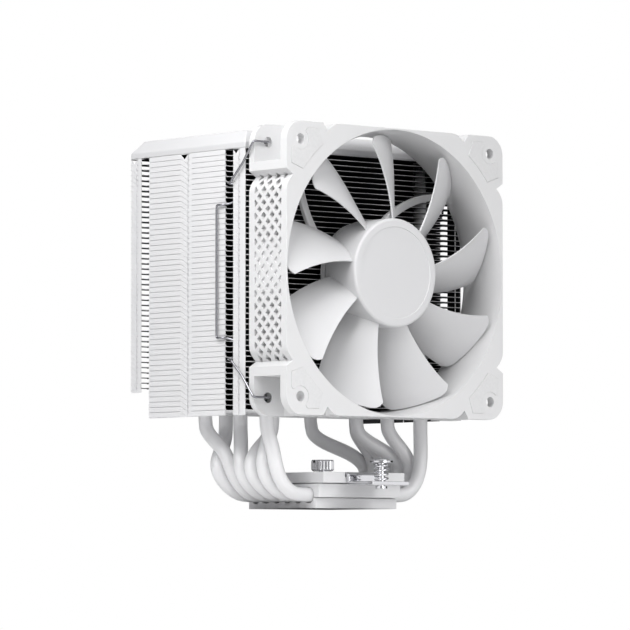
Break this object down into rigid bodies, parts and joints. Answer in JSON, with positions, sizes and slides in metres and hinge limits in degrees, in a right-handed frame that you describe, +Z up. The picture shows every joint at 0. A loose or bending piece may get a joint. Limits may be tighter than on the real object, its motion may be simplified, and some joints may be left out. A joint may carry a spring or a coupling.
{
  "type": "cpu tower cooler",
  "caption": "White tower cooler for a computer processor: finned block on heat pipes and a stepped base, with a clip-on axial fan and sprung mounting screws.",
  "frame": {"origin": "middle of the base's contact face, the face that rests on the processor", "axes": "+Z up from the processor, -Y the way the fan faces and air comes in, X along the fan's width"},
  "size_m": [0.1234, 0.1025, 0.1575],
  "materials": {
    "base_paint": "satin",
    "cover_paint": "satin",
    "pipe_paint": "gloss",
    "fin_paint": "satin",
    "polished_steel": "polished",
    "clip_wire": "satin",
    "frame_plastic": "satin",
    "impeller_plastic": "satin",
    "pad_rubber": "matte",
    "seal_plastic": "matte",
    "circuit_board": "satin",
    "motor_steel": "satin",
    "copper_wire": "satin",
    "bearing_brass": "satin",
    "magnet": "matte"
  },
  "bodies": {
    "cooler": {"base_plate": "base_paint", "clamp_block": "base_paint", "top_block": "base_paint", "heat_pipe_1": "pipe_paint", "heat_pipe_2": "pipe_paint", "heat_pipe_3": "pipe_paint", "heat_pipe_4": "pipe_paint", "heat_pipe_5": "pipe_paint", "heat_pipe_6": "pipe_paint", "fin_01": "fin_paint", "fin_02": "fin_paint", "fin_03": "fin_paint", "fin_04": "fin_paint", "fin_05": "fin_paint", "fin_06": "fin_paint", "fin_07": "fin_paint", "fin_08": "fin_paint", "fin_09": "fin_paint", "fin_10": "fin_paint", "fin_11": "fin_paint", "fin_12": "fin_paint", "fin_13": "fin_paint", "fin_14": "fin_paint", "fin_15": "fin_paint", "fin_16": "fin_paint", "fin_17": "fin_paint", "top_cover": "cover_paint", "mounting_bar": "polished_steel", "front_spring": "polished_steel", "rear_spring": "polished_steel"},
    "fan": {"fan_frame": "frame_plastic", "fan_circuit_board": "circuit_board", "stator_core": "motor_steel", "stator_coil_1": "copper_wire", "stator_coil_2": "copper_wire", "stator_coil_3": "copper_wire", "stator_coil_4": "copper_wire", "bearing_sleeve": "bearing_brass", "motor_seal": "seal_plastic", "front_pad_1": "pad_rubber", "front_pad_2": "pad_rubber", "front_pad_3": "pad_rubber", "front_pad_4": "pad_rubber", "rear_pad_1": "pad_rubber", "rear_pad_2": "pad_rubber", "rear_pad_3": "pad_rubber", "rear_pad_4": "pad_rubber"},
    "rotor": {"impeller": "impeller_plastic", "rotor_yoke": "motor_steel", "rotor_magnet": "magnet", "fan_shaft": "motor_steel", "shaft_clip": "motor_steel"},
    "clip_left": {"fan_clip_left": "clip_wire"},
    "clip_right": {"fan_clip_right": "clip_wire"},
    "thumb_screw_lifter": {"thumb_screw_washer": "polished_steel"},
    "thumb_screw": {"thumb_screw": "polished_steel"},
    "front_screw_slider": {"front_retaining_ring": "polished_steel"},
    "front_screw": {"front_screw": "polished_steel"},
    "rear_screw_slider": {"rear_retaining_ring": "polished_steel"},
    "rear_screw": {"rear_screw": "polished_steel"}
  },
  "joints": [
    {"name": "fan_height", "type": "slide", "parent": "cooler", "child": "fan", "axis": [0, 0, 1], "range_m": [0, 0.01]},
    {"name": "fan_spin", "type": "hinge", "parent": "fan", "child": "rotor", "pos_m": [0, -0.035, 0.09754], "axis": [0, -1, 0], "continuous": true},
    {"name": "clip_left_swing", "type": "hinge", "parent": "fan", "child": "clip_left", "pos_m": [-0.0525, -0.02675, 0.09754], "axis": [0, 0, 1], "range_deg": [0, 25], "stiffness_Nm_per_rad": 0.05},
    {"name": "clip_right_swing", "type": "hinge", "parent": "fan", "child": "clip_right", "pos_m": [0.0525, -0.02675, 0.09754], "axis": [0, 0, -1], "range_deg": [0, 25], "stiffness_Nm_per_rad": 0.05},
    {"name": "thumb_screw_lift", "type": "slide", "parent": "cooler", "child": "thumb_screw_lifter", "axis": [0, 0, 1], "range_m": [0, 0.0025]},
    {"name": "thumb_screw_turn", "type": "hinge", "parent": "thumb_screw_lifter", "child": "thumb_screw", "pos_m": [0, 0, 0.018], "axis": [0, 0, 1], "range_deg": [0, 1800]},
    {"name": "front_screw_press", "type": "slide", "parent": "cooler", "child": "front_screw_slider", "axis": [0, 0, -1], "range_m": [0, 0.0035], "stiffness_N_per_m": 1500, "springref_m": -0.002, "deforming": ["front_spring"]},
    {"name": "front_screw_turn", "type": "hinge", "parent": "front_screw_slider", "child": "front_screw", "pos_m": [0, -0.0374, 0.015], "axis": [0, 0, 1], "continuous": true},
    {"name": "rear_screw_press", "type": "slide", "parent": "cooler", "child": "rear_screw_slider", "axis": [0, 0, -1], "range_m": [0, 0.0035], "stiffness_N_per_m": 1500, "springref_m": -0.002, "deforming": ["rear_spring"]},
    {"name": "rear_screw_turn", "type": "hinge", "parent": "rear_screw_slider", "child": "rear_screw", "pos_m": [0, 0.0374, 0.015], "axis": [0, 0, 1], "continuous": true}
  ],
  "couplings": [
    {"joint": "thumb_screw_turn", "follows": "thumb_screw_lift", "rad_per_m": 12566}
  ]
}
